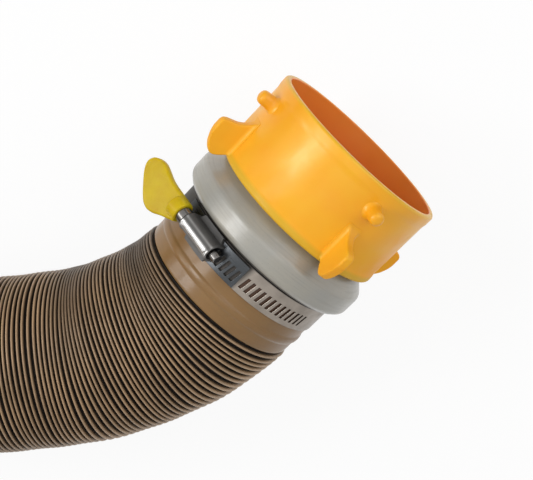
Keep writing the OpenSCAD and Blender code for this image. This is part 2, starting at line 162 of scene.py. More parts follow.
def plate(outer, inner, keep):
    """A shell between two matching grids of points, with walls round the cells that keep leaves out.
    With it comes where each of its points is in the outer grid, followed by the inner one."""
    rows, cols = outer.shape[:2]
    keep = np.asarray(keep, bool)
    wrap = keep.shape[1] == cols
    quads = grid_quads(rows, cols, False, wrap)
    beside_rows = np.pad(keep, ((1, 1), (0, 0)))
    beside_cols = np.pad(keep, ((0, 0), (1, 1)), mode="wrap" if wrap else "constant")
    under = rows * cols
    kept = quads[keep.ravel()]
    faces = [kept, kept[:, ::-1] + under]
    for beside, u, v in ((beside_rows[:-2], 0, 1), (beside_rows[2:], 2, 3),
                         (beside_cols[:, :-2], 3, 0), (beside_cols[:, 2:], 1, 2)):
        edge = quads[(keep & ~beside).ravel()]
        faces.append(np.stack([edge[:, v], edge[:, u], edge[:, u] + under, edge[:, v] + under], -1))
    points = np.concatenate([outer.reshape(-1, 3), inner.reshape(-1, 3)])
    used, renumbered = np.unique(np.concatenate(faces), return_inverse=True)
    return (points[used], [renumbered.reshape(-1, 4)]), used


def placed(name, data):
    """An object with this data, linked to the scene."""
    made = bpy.data.objects.new(name, data)
    bpy.context.scene.collection.objects.link(made)
    return made


def make_piece(name, shells, material, crease_deg=38.0, shades=None):
    """A mesh object at the origin from closed shells of points in metres."""
    points = np.concatenate([shell[0] for shell in shells])
    starts = np.cumsum([0] + [len(shell[0]) for shell in shells])
    tables = [table + start for (p, faces), start in zip(shells, starts) for table in outward(p, faces)]
    corners = np.concatenate([np.full(len(table), table.shape[1]) for table in tables])
    loops = np.concatenate([table.ravel() for table in tables])
    mesh = bpy.data.meshes.new(name)
    mesh.vertices.add(len(points))
    mesh.vertices.foreach_set("co", points.astype(np.float32).ravel())
    mesh.loops.add(len(loops))
    mesh.loops.foreach_set("vertex_index", loops.astype(np.int32))
    mesh.polygons.add(len(corners))
    mesh.polygons.foreach_set("loop_start", np.concatenate([[0], np.cumsum(corners)[:-1]]).astype(np.int32))
    mesh.update(calc_edges=True)
    if mesh.validate():
        raise ValueError(f"{name}: the mesh had invalid faces")
    mesh.shade_smooth()
    mesh.set_sharp_from_angle(angle=np.radians(crease_deg))
    if shades is not None:
        layer = mesh.attributes.new("depth", "FLOAT", "POINT")
        layer.data.foreach_set("value", np.asarray(shades, np.float32))
    mesh.materials.append(material)
    return placed(name, mesh)


def bevelled(piece, width):
    """Rounds the sharp edges of a piece with a live Bevel modifier."""
    bevel = piece.modifiers.new("round", "BEVEL")
    bevel.width, bevel.segments, bevel.limit_method = width, 2, "ANGLE"
    bevel.angle_limit = np.radians(40.0)


def dressed(piece, body, slot, *nodes):
    """Lets a finished piece ride on a body in place of CAD nodes; its slot argument is not used."""
    weighted = piece.modifiers.new("normals", "WEIGHTED_NORMAL")
    weighted.keep_sharp = True
    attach(piece, body)
    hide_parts(*nodes)
    return piece


def rounded(outline, radius, steps=5):
    """A closed outline whose corners are cut back by radius and bridged by a parabola's arc."""
    p = np.asarray(outline, float)
    before, after = np.roll(p, 1, 0) - p, np.roll(p, -1, 0) - p
    length_before, length_after = np.linalg.norm(before, axis=1), np.linalg.norm(after, axis=1)
    cut = np.minimum(np.broadcast_to(radius, len(p)), 0.46 * np.minimum(length_before, length_after))
    start = p + before * (cut / length_before)[:, None]
    end = p + after * (cut / length_after)[:, None]
    t = np.linspace(0, 1, steps)[None, :, None]
    arcs = (1 - t) ** 2 * start[:, None] + 2 * t * (1 - t) * p[:, None] + t ** 2 * end[:, None]
    return arcs.reshape(-1, 2)


def turned(profile, mouth, steps=192):
    """A closed profile of (distance along the axis, radius) in millimetres, turned round a fitting's axis."""
    x, r = columns(profile)
    a = circle(steps)[None]
    rings = np.stack([x + 0 * a, r * np.sin(a), r * np.cos(a)], -1)
    return tube(rings * MM + mouth, wrap=True)


def around(points, degrees):
    """Points in millimetres, drawn at the top of a fitting, turned towards +Y round its axis."""
    a = np.radians(degrees)
    x, y, z = np.moveaxis(np.asarray(points, float), -1, 0)
    return np.stack([x + 0 * a, y * np.cos(a) + z * np.sin(a), z * np.cos(a) - y * np.sin(a)], -1)


def from_clamp(points, degrees, mouth):
    """Points of the clamp's own frame put in place: X along the fitting, Y along the screw, Z outwards."""
    return around(np.asarray(points, float) + (CLAMP_X, 0, 0), degrees) * MM + mouth


def slab(outline, low, high, edge, steps=4):
    """Rings that fill a closed outline from height low to high, with both rims rounded by edge. Where edge
    nears the radius of the outline's tightest bend or is over it, the flat sides cross themselves at that
    corner, as they do now on the ribs, the hooks and the keys."""
    p = np.asarray(outline, float)
    ahead = np.roll(p, -1, 0) - np.roll(p, 1, 0)
    inward = np.stack([-ahead[:, 1], ahead[:, 0]], -1) / np.linalg.norm(ahead, axis=1)[:, None]
    x, y = p.T
    if np.dot(x, np.roll(y, -1)) < np.dot(y, np.roll(x, -1)):
        inward = -inward
    a = np.linspace(0, np.pi / 2, steps)
    inset = edge * (1 - np.sin(a))
    height = edge * (1 - np.cos(a))
    insets = np.concatenate([inset, inset[::-1]])
    heights = np.concatenate([low + height, high - height[::-1]])
    flat = p[None] + inward[None] * insets[:, None, None]
    return np.concatenate([flat, np.broadcast_to(heights[:, None, None], (*flat.shape[:2], 1))], -1)


def stacked(profile, steps=40, centre=(0, 0)):
    """Rings of points round an upright line, from a profile of (height, radius)."""
    height, radius = columns(profile)
    a = circle(steps)[None]
    return np.stack([centre[0] + radius * np.cos(a), centre[1] + radius * np.sin(a), height + 0 * a], -1)


# ---- finishes ----

class Nodes:
    """A node tree built step by step: each call adds shader nodes and returns an output."""

    def __init__(self, tree):
        self.tree = tree

    def node(self, kind, **settings):
        made = self.tree.nodes.new(kind)
        for key, value in settings.items():
            setattr(made, key, value)
        return made

    def wire(self, source, target):
        self.tree.links.new(source, target)

    def maths(self, operation, first, second=0.0):
        made = self.node("ShaderNodeMath", operation=operation)
        for socket, given in enumerate((first, second)):
            if isinstance(given, bpy.types.NodeSocket):
                self.wire(given, made.inputs[socket])
            else:
                made.inputs[socket].default_value = given
        return made.outputs[0]

    def between(self, value, low, high, to_low=0.0, to_high=1.0):
        made = self.node("ShaderNodeMapRange")
        for socket, given in (("From Min", low), ("From Max", high), ("To Min", to_low), ("To Max", to_high)):
            made.inputs[socket].default_value = given
        self.wire(value, made.inputs["Value"])
        return made.outputs["Result"]

    def seen(self):
        """1 for rays that show the backdrop, straight or in metal or glass, and else 0."""
        path = self.node("ShaderNodeLightPath").outputs
        straight = self.maths("MAXIMUM", path["Is Camera Ray"], path["Is Glossy Ray"])
        return self.maths("MAXIMUM", straight, path["Is Transmission Ray"])


class Finish(Nodes):
    """The nodes of one material, round its principled shader."""

    def __init__(self, name, roughness=0.5, **constants):
        self.material = bpy.data.materials.new(name)
        self.material.use_nodes = True
        super().__init__(self.material.node_tree)
        self.shader = self.tree.nodes["Principled BSDF"]
        self.shader.inputs["Roughness"].default_value = roughness
        for socket, value in constants.items():
            self.shader.inputs[socket.replace("_", " ")].default_value = value
        self.place = self.node("ShaderNodeTexCoord").outputs["Object"]

    def stretched(self, scale, offset=(0, 0, 0)):
        """Object coordinates scaled by a different amount along each axis."""
        made = self.node("ShaderNodeMapping")
        made.inputs["Scale"].default_value = scale
        made.inputs["Location"].default_value = offset
        self.wire(self.place, made.inputs["Vector"])
        return made.outputs["Vector"]

    def noise(self, scale, detail, vector=None):
        made = self.node("ShaderNodeTexNoise")
        made.inputs["Scale"].default_value = scale
        made.inputs["Detail"].default_value = detail
        self.wire(self.place if vector is None else vector, made.inputs["Vector"])
        return made.outputs["Fac"]

    def depth(self):
        """The piece's own painted shade: how deep in a fold a point is, or how much painted shade it takes on
        steel.
        """
        return self.node("ShaderNodeAttribute", attribute_name="depth").outputs["Fac"]

    def ramp(self, value, stops):
        """A colour ramp; each stop is a place and a colour or a grey."""
        made = self.node("ShaderNodeValToRGB")
        elements = made.color_ramp.elements
        while len(elements) < len(stops):
            elements.new(0.5)
        for element, (place, colour) in zip(elements, stops):
            element.position = place
            element.color = (*([colour] * 3 if np.isscalar(colour) else colour), 1.0)
        self.wire(value, made.inputs["Fac"])
        return made.outputs["Color"]

    def mix(self, value, first, second):
        made = self.node("ShaderNodeMix", data_type="RGBA")
        for socket, given in ((0, value), (6, first), (7, second)):
            if isinstance(given, bpy.types.NodeSocket):
                self.wire(given, made.inputs[socket])
            else:
                made.inputs[socket].default_value = given if socket == 0 else (*given, 1.0)
        return made.outputs[2]

    def surface(self, colour, roughness):
        """Sets the finish's colour and roughness, each from a socket."""
        self.wire(colour, self.shader.inputs["Base Color"])
        self.wire(roughness, self.shader.inputs["Roughness"])

    def bump(self, heights):
        """Bumps laid one on the other, each a (height, depth in metres) pair."""
        normal = None
        for height, depth in heights:
            made = self.node("ShaderNodeBump")
            made.inputs["Distance"].default_value = depth
            self.wire(height, made.inputs["Height"])
            if normal is not None:
                self.wire(normal, made.inputs["Normal"])
            normal = made.outputs["Normal"]
        self.wire(normal, self.shader.inputs["Normal"])

    def radius_from(self, mouth):
        """How far a surface point is from a fitting's axis and how far along it, in metres."""
        moved = self.stretched((1, 1, 1), offset=tuple(-np.asarray(mouth)))
        parts = self.node("ShaderNodeSeparateXYZ")
        self.wire(moved, parts.inputs[0])
        y, z = parts.outputs["Y"], parts.outputs["Z"]
        squared = self.maths("ADD", self.maths("MULTIPLY", y, y), self.maths("MULTIPLY", z, z))
        return self.maths("SQRT", squared), parts.outputs["X"]


def ring_plastic(name, mouth):
    """Moulded plastic: a cloudy orange-yellow outside, a yellower painted highlight along the mouth's rim,
    darker and yellower painted shade on the band round the base, and inside a red-orange painted shade that
    deepens away from the mouth."""
    tint = colours()
    outside, inside = np.array(tint.ring), np.array(tint.ring_inside_shade)
    f = Finish(name, Specular_IOR_Level=0.55, Specular_Tint=(1.0, 0.95, 0.62, 1.0), Coat_Weight=0.08,
               Coat_Roughness=0.2, Subsurface_Weight=0.06, Subsurface_Scale=0.004,
               Subsurface_Radius=(1.0, 0.5, 0.1))
    radius, along = f.radius_from(mouth)
    cloudy = f.mix(f.between(f.noise(38, 3), 0.38, 0.68), outside, outside * (1.0, 0.87, 0.75))
    # Painted highlight: the rolled rim at the mouth is painted paler and yellower.
    wear_and_rim_highlight = f.mix(f.between(along, -0.0018, -0.0006, 0, 0.6), cloudy, outside * (0.86, 1.08, 1.5))
    # Painted shade: the band round the base, outside the tabs, is painted darker and yellower.
    base = f.maths("MULTIPLY", f.between(along, -0.0398, -0.0416, 0, 0.9), f.between(radius, 0.0487, 0.0483))
    shaded_base_band = f.mix(base, wear_and_rim_highlight, outside * (0.76, 0.92, 1.3))
    # Painted shade inside the bore: red-orange on the inner walls, deeper away from the mouth.
    deep = f.mix(f.between(along, -0.026, -0.003), inside * (1.0, 0.85, 0.8), inside * (1.0, 1.2, 0.8))
    inner = f.maths("MULTIPLY", f.between(radius, 0.0458, 0.0452), f.between(along, -0.0410, -0.0400))
    scuffed = f.between(along, -0.020, -0.038, 0.0, 0.32)
    f.surface(f.mix(inner, shaded_base_band, deep),
              f.maths("ADD", f.between(f.noise(140, 4), 0.3, 0.7, 0.28, 0.44), scuffed))
    f.bump([(f.noise(60, 2), 0.00025), (f.noise(1500, 3), 0.00002)])
    return f.material


def coupler_plastic(name, mouth):
    """Grey moulding with flow clouds, faint turned streaks, specks, and painted shade, near black, in the
    joint at its back.
    """
    grey = np.array(colours().coupler)
    f = Finish(name, Coat_Weight=0.5, Coat_Roughness=0.26)
    _, along = f.radius_from(mouth)
    clouds = f.mix(f.between(f.noise(45, 4), 0.35, 0.65), grey * 0.95, grey * (1.07, 1.02, 0.94))
    streaks = f.noise(1.0, 4, f.stretched((1100, 45, 45)))
    streaked = f.mix(f.between(streaks, 0.5, 0.72, 0, 0.5), clouds, grey * 0.8)
    specks = f.between(f.noise(900, 2), 0.66, 0.72, 0, 0.5)
    wear_and_rim_highlight = f.mix(specks, streaked, grey * 0.8)
    uneven = f.maths("ADD", f.maths("MULTIPLY", streaks, 0.5), f.maths("MULTIPLY", f.noise(170, 3), 0.5))
    # Painted shade: the back of the coupler, in the joint by the washer, is painted near black.
    f.surface(f.mix(f.between(along, -0.0645, -0.0650), wear_and_rim_highlight, (0.02, 0.016, 0.012)),
              f.between(uneven, 0.35, 0.65, 0.28, 0.5))
    f.bump([(f.noise(90, 3), 0.00022), (streaks, 0.00003), (f.noise(1800, 2), 0.000025)])
    return f.material


def rib_vinyl(name):
    """Satin vinyl over a spring wire: tan on the crown of each rib, painted shade down its sides that goes
    near black in the folds, and painted light on the crowns outside the bend.
    """
    tint = colours()
    rib = np.array(tint.rib)
    f = Finish(name, Specular_IOR_Level=0.4, Coat_Weight=0.08, Coat_Roughness=0.3)
    depth = f.depth()
    wear_and_rim_highlight = f.mix(f.between(f.noise(55, 4), 0.35, 0.7), rib * 0.8, np.minimum(rib * 1.15, 1))
    # Painted light: crowns outside the bend, where the depth shade falls below 0, are painted paler.
    drawn = f.mix(f.between(depth, 0.0, -0.25, 0, 0.8), wear_and_rim_highlight, rib * (1.45, 1.5, 1.5))
    dusty = f.mix(f.between(f.noise(420, 3), 0.45, 0.75, 0, 0.35), drawn, rib * (1.3, 1.3, 1.4))
    # Painted shade: each rib's sides darken, and the folds go near black, as the depth shade grows.
    side = f.mix(f.between(depth, 0.08, 0.34), dusty, rib * 0.28)
    f.surface(f.mix(f.between(depth, 0.3, 0.62), side, tint.fold),
              f.maths("ADD", f.between(f.noise(300, 3), 0.3, 0.7, 0.34, 0.52),
                      f.between(depth, 0.3, 0.6, 0, 0.45)))
    f.bump([(f.noise(700, 3), 0.00003)])
    return f.material


def liner_vinyl(name):
    """Dull dark vinyl inside the hose, streaked along it."""
    f = Finish(name, roughness=0.6)
    streaks = f.noise(1.0, 4, f.stretched((90, 260, 260)))
    f.wire(f.ramp(streaks, [(0.35, (0.03, 0.018, 0.01)), (0.7, (0.075, 0.045, 0.025))]),
           f.shader.inputs["Base Color"])
    f.bump([(f.noise(500, 3), 0.00005)])
    return f.material


def cuff_vinyl(name, mouth):
    """Soft brown vinyl: slow clouds, hairlines round it, and painted shade where the clamp and washer sit:
    darker under the band, near black next to the washer.
    """
    brown = np.array(colours().cuff)
    f = Finish(name, Specular_IOR_Level=0.25, Coat_Weight=0.2, Coat_Roughness=0.14, Subsurface_Weight=0.05,
               Subsurface_Scale=0.003)
    _, along = f.radius_from(mouth)
    hairlines = f.noise(1.0, 4, f.stretched((2600, 60, 60)))
    clouds = f.mix(f.between(f.noise(30, 4), 0.35, 0.68), brown * 0.88, brown * (1.14, 1.16, 1.2))
    lined = f.mix(f.between(hairlines, 0.5, 0.75, 0, 0.25), clouds, brown * 0.7)
    # Painted shade: darker under the clamp's band, where it shows through the slots, and near black at the
    # end next to the washer.
    shaded_under_band = f.mix(f.between(along, -0.0816, -0.0806), lined, brown * (0.3, 0.24, 0.3))
    f.surface(f.mix(f.between(along, -0.0676, -0.0672), shaded_under_band, brown * 0.05),
              f.between(f.noise(120, 3), 0.3, 0.7, 0.28, 0.42))
    f.bump([(f.noise(28, 2), 0.0005), (hairlines, 0.00003), (f.noise(1300, 2), 0.00001)])
    return f.material


def rubber(name):
    """Black rubber with a dusty bloom."""
    f = Finish(name)
    f.surface(f.ramp(f.noise(130, 4), [(0.4, (0.008, 0.008, 0.008)), (0.75, (0.035, 0.033, 0.03))]),
              f.between(f.noise(300, 2), 0.3, 0.7, 0.5, 0.75))
    f.bump([(f.noise(900, 3), 0.00004)])
    return f.material


def rolled_steel(name, colour, low, high, lines=(1.0, 0.06, 0.06), dents=0.00008, grain=0.000012):
    """Rolled stainless: hairlines along the strip, smudges, small dents, and painted shade, near black and
    less metallic, where the piece's shades say.
    """
    f = Finish(name, Metallic=1.0)
    hairlines = f.noise(3200, 3, f.stretched(lines))
    smudges = f.noise(120, 4)
    base = np.array(colour)
    # Painted shade: the piece's shades turn the steel near black, less metallic and rougher.
    steel_shade = f.depth()
    clean = f.mix(f.between(smudges, 0.35, 0.7), base, base * 0.72)
    f.wire(f.between(steel_shade, 0.0, 1.0, 1.0, 0.2), f.shader.inputs["Metallic"])
    polish = f.between(f.maths("ADD", f.maths("MULTIPLY", hairlines, 0.5), f.maths("MULTIPLY", smudges, 0.5)),
                       0.3, 0.7, low, high)
    f.surface(f.mix(steel_shade, clean, (0.012, 0.01, 0.008)),
              f.maths("MAXIMUM", polish, f.maths("MULTIPLY", steel_shade, 0.7)))
    f.bump([(hairlines, grain), (f.noise(160, 2), dents)])
    return f.material


def key_plastic(name):
    """Slightly clear yellow plastic with cloudy flow marks."""
    yellow = np.array(colours().key)
    f = Finish(name, Specular_IOR_Level=0.1, Coat_Weight=0.04, Coat_Roughness=0.15, Subsurface_Weight=0.3,
               Subsurface_Scale=0.004, Subsurface_Radius=(1.0, 0.75, 0.1), Transmission_Weight=0.02, IOR=1.49)
    clouds = f.noise(110, 4)
    f.surface(f.mix(f.between(clouds, 0.32, 0.68), yellow * (1.0, 1.02, 1.0), yellow * (0.9, 0.84, 0.9)),
              f.between(f.noise(260, 3), 0.3, 0.7, 0.22, 0.36))
    f.bump([(f.noise(90, 3), 0.00015), (f.noise(1400, 2), 0.000012)])
    return f.material


# ---- hose ----

class HoseLine:
    """Places points by length along the hose, angle round it and radius, all in metres and radians."""

    def __init__(self):
        """A Catmull-Rom curve through the route, spaced evenly and smoothed. It leaves the cuff straight, and
        its side direction stays level."""
        t = np.linspace(0, 1, 12, endpoint=False)[None, :, None]
        a, b, c, d = (ROUTE[k:len(ROUTE) - 3 + k, None] for k in range(4))
        spans = 0.5 * (2 * b + (c - a) * t + (2 * a - 5 * b + 4 * c - d) * t ** 2
                       + (3 * b - a - 3 * c + d) * t ** 3)
        line = np.concatenate([spans.reshape(-1, 3), ROUTE[-2:-1]])
        runs = np.concatenate([[0], np.cumsum(np.linalg.norm(np.diff(line, axis=0), axis=1))])
        self.length = runs[-1]
        self.at = np.linspace(0, self.length, 1600)
        self.middle = self.smooth(np.stack([np.interp(self.at, runs, line[:, k]) for k in range(3)], 1), 15)
        along = self.smooth(np.gradient(self.middle, self.at, axis=0), 9)
        along[0], along[-1] = (-1, 0, 0), (1, 0, 0)
        eased = np.clip(self.at / 0.015, 0, 1)[:, None]
        along = along * eased + np.array([-1, 0, 0]) * (1 - eased)
        self.along = along / np.linalg.norm(along, axis=1)[:, None]
        side = np.cross((0, 0, 1.0), self.along)
        self.side = side / np.linalg.norm(side, axis=1)[:, None]
        self.up = np.cross(self.along, self.side)
        self.bend = self.smooth(np.gradient(self.along, self.at, axis=0), 41)

    @staticmethod
    def smooth(rows, width):
        """A running weighted mean that keeps the two end rows where they are."""
        kernel = np.hanning(width + 2)[1:-1]
        padded = np.pad(rows, ((width // 2, width // 2), (0, 0)), mode="reflect", reflect_type="odd")
        return np.stack([np.convolve(column, kernel / kernel.sum(), "valid") for column in padded.T], 1)

    def pick(self, table, s):
        """What a table of the line holds at lengths along it, read between its rows."""
        return np.stack([np.interp(s, self.at, column) for column in table.T], -1)

    def out(self, s, angle):
        """The direction out of the hose at an angle round it, from level at 0 to up at a quarter turn."""
        return (self.pick(self.side, s) * np.cos(angle)[..., None]
                + self.pick(self.up, s) * np.sin(angle)[..., None])

    def stretch(self, s, angle):
        """Length of the hose's skin over that of its middle: over 1 outside a bend and under 1 inside it."""
        inward = np.einsum("...k,...k->...", self.pick(self.bend, s), self.out(s, angle))
        return np.clip(1 - inward * HOSE_R * MM, 0.5, 1.6)

    def place(self, s, angle, radius):
        """Points at a radius from the middle line, each in the direction that its angle gives."""
        s = np.clip(s, 0, self.length)
        return self.pick(self.middle, s) + self.out(s, angle) * np.asarray(radius)[..., None]


def ribbed_strip(hose, first_turn, last_turn, steps, crown):
    """The hose's skin as it is made, one strip wound as a helix whose edges overlap those of its neighbours.
    The strip's section is a rib between two thin edges: crown holds (place in rib half-widths, height from 0
    at the bottom of the fold to 1 on the rib). The rib keeps its width where the hose bends, and only the
    folds beside it open and close."""
    size = sizes()
    turns_in_all = round(hose.length / size.rib_pitch)
    pitch, half = hose.length / turns_in_all, size.rib_width / 2
    place, height = columns(crown)
    turns = np.linspace(first_turn, last_turn, (last_turn - first_turn) * steps + 1)
    angle = 2 * np.pi * (turns - 0.25)
    stray = (0.10 * np.sin(turns * 0.83 + 1.1 * np.cos(angle)) + 0.07 * np.sin(turns * 0.37 + 2.0 * angle)
             + 0.05 * np.sin(turns * 1.9 - angle))
    stray *= np.clip(np.minimum(turns, turns_in_all - 1 - turns) / 2, 0, 1)
    s = (turns + 0.5 - 0.15 * np.clip(1 - turns, 0, 1) + stray) * pitch
    stretch = hose.stretch(s, angle)
    half_s = np.minimum(half * (1 + 0.5 * np.clip(stretch - 1, 0, 1)) / stretch, 0.47 * pitch)
    edge = 0.6 * pitch
    open_fold = np.clip(0.5 + 1.3 * (stretch - 0.62), 0.45, 1)
    fold = size.fold_depth * open_fold
    rim_in = HOSE_R * MM - fold
    rise = fold * np.clip(0.1 + 8 * np.minimum(turns, turns_in_all - 1 - turns), 0, 1)
    rise = rise * (1 + 0.05 * np.sin(turns * 0.71 + 1.7 * np.cos(angle + 1)) - 0.05)
    rib_s, rib_r = s + place * half_s, rim_in + height * rise
    rows_s = np.concatenate([rib_s, [s + edge, s + edge, s - edge, s - edge]])
    rows_r = np.concatenate([rib_r, [rim_in, rim_in - 0.0006, rim_in - 0.0006, rim_in]])
    rings = hose.place(rows_s, angle + np.zeros_like(rows_s), rows_r)
    # The shade is painted shade: darker down each rib's sides and near black in its folds, darker all over
    # inside the bend, and under 0, a painted light, on crowns outside the bend.
    shade = np.concatenate([1 - height + 0 * s, np.ones((4, len(s)))]) * open_fold ** 2
    shade += 0.6 * (1 - open_fold) - 0.5 * np.clip(stretch - 1, 0, 0.5)
    return tube(np.swapaxes(rings, 0, 1)), np.swapaxes(shade, 0, 1).ravel()


FINE_CROWN = [(-1.0, 0.0), (-0.97, 0.45), (-0.78, 0.8), (-0.4, 0.965), (0.0, 1.0), (0.4, 0.965), (0.78, 0.8),
              (0.97, 0.45), (1.0, 0.0)]
PLAIN_CROWN = [(-1.0, 0.0), (-0.85, 0.72), (0.0, 1.0), (0.85, 0.72), (1.0, 0.0)]


# ---- the operators: one for each piece, or group of like pieces ----

class HoseKitStep:
    """What the operators share: errors are raised, and a step can be undone."""
    bl_options = {"REGISTER", "UNDO"}

    @classmethod
    def poll(cls, context):
        return context.mode == "OBJECT"


def lug_pin(degrees):
    """A short pin with a domed tip, widened where it grows out of the ring."""
    profile = [(46.2, 5.2), (47.3, 5.1), (47.6, 4.7), (48.2, 4.15), (49.1, 3.7), (50.2, 3.5), (53.6, 3.42),
               (54.6, 3.2), (55.3, 2.75), (55.75, 2.0), (55.95, 1.1), (56.0, 0.4)]
    return around(stacked(profile, 40, (-12, 0)), degrees)


def grip_tab(degrees):
    """A lobed tab in the plane of the axis. Each section at one height is a rectangle with round corners.
    It spreads into the ring in a hollow fillet at the foot, and shrinks by a quarter round at the crest."""
    outline = rounded(
        [(-43.2, 46.0), (-43.0, 48.0), (-45.4, 50.8), (-47.05, 53.5), (-47.4, 55.0), (-46.8, 56.8),
         (-44.2, 59.2), (-40.0, 61.1), (-36.4, 62.0), (-31.4, 62.05), (-29.9, 60.2), (-28.3, 54.0),
         (-26.4, 50.9), (-23.6, 48.0), (-23.2, 46.0)],
        [0.3, 1] + [2] * 7 + [1.6, 1.6, 2.4, 2.4, 1.2, 0.3], 6)
    crest, fillet, soft = 62.0, 2.0, 1.0
    top = np.argmax(outline[:, 1])
    t = np.linspace(0, np.pi / 2, 7)
    r = np.concatenate([[46.3, 47.0], RING_R - 0.3 + fillet * (1 - np.cos(t)), np.linspace(50.2, 59.0, 16),
                        np.linspace(59.3, crest - soft - 0.1, 7), crest - soft + soft * np.sin(t)])
    level = np.minimum(r, crest - 0.35)
    rear = np.interp(level, outline[:top + 1, 1], outline[:top + 1, 0])
    front = np.interp(level, outline[:top:-1, 1], outline[:top:-1, 0])
    spread = fillet - np.sqrt(fillet ** 2 - np.clip(RING_R - 0.3 + fillet - r, 0, fillet) ** 2)
    shrink = soft - np.sqrt(soft ** 2 - np.clip(r - crest + soft, 0, soft) ** 2)
    half_x = (front - rear + spread) / 2 - shrink
    centre_x = (front + rear + spread) / 2
    half_t = 2.25 + spread - shrink
    corner = np.minimum(0.98 * half_t, 1.1)
    a = np.radians(np.add.outer(np.arange(4) * 90, np.linspace(0, 90, 9)))
    way_x, way_t = np.sign(np.cos(a.mean(1))), np.sign(np.sin(a.mean(1)))
    x = (way_x[:, None] * (half_x - corner)[:, None, None] + corner[:, None, None] * np.cos(a))
    y = (way_t[:, None] * (half_t - corner)[:, None, None] + corner[:, None, None] * np.sin(a))
    x, y = x.reshape(len(r), -1) + centre_x[:, None], y.reshape(len(r), -1)
    return around(np.stack([x, y, r[:, None] + 0 * x], -1), degrees)


def ring_profile(inside):
    """The shell that both turning rings share: rolled mouth, a shallow waist and a band round the base."""
    return rounded(
        [(BASE_X, 42.5), (BASE_X, 46.9), (-43.6, RING_R), (-41.6, RING_R), (-39.4, 47.6), (-6.9, 47.6),
         (-4.7, RING_R), (-0.9, RING_R), (0, 47.2), (0, RING_BORE_R)] + inside
        + [(RELIEF_X, RING_BORE_R), (RELIEF_X, 46), (LIP_X, 46), (LIP_X, 42.5)],
        [0.4, 0.7, 0.7, 1.1, 1.1, 1.1, 1.1, 0.6, 0.6, 0.7] + [0.3] * len(inside) + [0.3, 0.3, 0.3, 0.4], 6)


def shells_of(stacks, mouth):
    """A closed shell at a fitting's mouth from each stack of rings in millimetres."""
    return [tube(stack * MM + mouth) for stack in stacks]


class HOSEKIT_OT_swivel_ring(HoseKitStep, bpy.types.Operator):
    """Turning ring with four lugs, each a short pin near the mouth and a grip tab at the base"""
    bl_idname = "hosekit.swivel_ring"
    bl_label = "Lug ring"

    def execute(self, context):
        angles = LUG_DEG + 90 * np.arange(4)
        stacks = [lug_pin(a) for a in angles] + [grip_tab(a) for a in angles]
        ring = make_piece("lug_ring", [turned(ring_profile([]), NEAR_MOUTH)] + shells_of(stacks, NEAR_MOUTH),
                          ring_plastic("lug_ring_plastic", NEAR_MOUTH))
        dressed(ring, "swivel", "ring_plastic", "swivel_ring")
        return {"FINISHED"}


class HOSEKIT_OT_bayonet_ring(HoseKitStep, bpy.types.Operator):
    """Turning ring of the far end, with a flange, four bayonet hooks that take the pins, ribs and a seal"""
    bl_idname = "hosekit.bayonet_ring"
    bl_label = "Bayonet ring and seal"

    def hook(self, degrees):
        """A curved hook: a leg from the flange, a foot that holds the pin and a spine reaching forward."""
        arc = HOOK_R * np.pi / 180
        outline = [(0, -2), (12 * arc, -2), (12 * arc, 8), (34 * arc, 8), (34 * arc, 13), (9 * arc, 13),
                   (6 * arc, 16), (6 * arc, 20), (0, 20)]
        plan = rounded(outline, [0.5, 0.5, 2, 2, 2, 3, 2, 1.5, 2], 6)
        u, x, r = np.moveaxis(slab(plan, 50.6, 58.0, 0.8), -1, 0)
        return around(np.stack([x, 0 * r, r], -1), np.degrees(u / HOOK_R) + degrees)

    def rib(self, degrees):
        """A plate 4.5 mm thick in the plane of the axis, slanted at the back and level up to the flange."""
        outline = rounded([(-32, 46.6), (-27, 53), (-24, 55), (-2, 55), (-2, 46.6)], [1, 3, 2, 1, 0.4], 6)
        x, r, t = np.moveaxis(slab(outline, -2.25, 2.25, 0.9), -1, 0)
        return around(np.stack([x, t, r], -1), degrees)

    def execute(self, context):
        ledge = [(-10, 45), (-10, 46), (-15.1, 46), (-15.1, 41), (-19.1, 41), (-19.1, 45)]
        flange = rounded([(-4, 46.8), (-4, 58), (0, 58), (0, 46.8)], 0.7)
        stacks = [self.hook(90 * i - 23) for i in range(4)] + [self.rib(90 * i + 45) for i in range(4)]
        shells = [turned(ring_profile(ledge), FAR_MOUTH), turned(flange, FAR_MOUTH)]
        ring = make_piece("bayonet", shells + shells_of(stacks, FAR_MOUTH),
                          ring_plastic("bayonet_plastic", FAR_MOUTH))
        dressed(ring, "far_swivel", "ring_plastic", "bayonet_ring")
        lip = rounded([(-15.05, 37), (-15.05, 45.95), (-10.05, 45.95), (-10.05, 42), (-11.55, 37)], 0.7)
        seal = make_piece("lip_seal", [turned(lip, FAR_MOUTH)], rubber("seal_rubber_face"))
        dressed(seal, "far_swivel", "seal_rubber", "bayonet_seal")
        return {"FINISHED"}


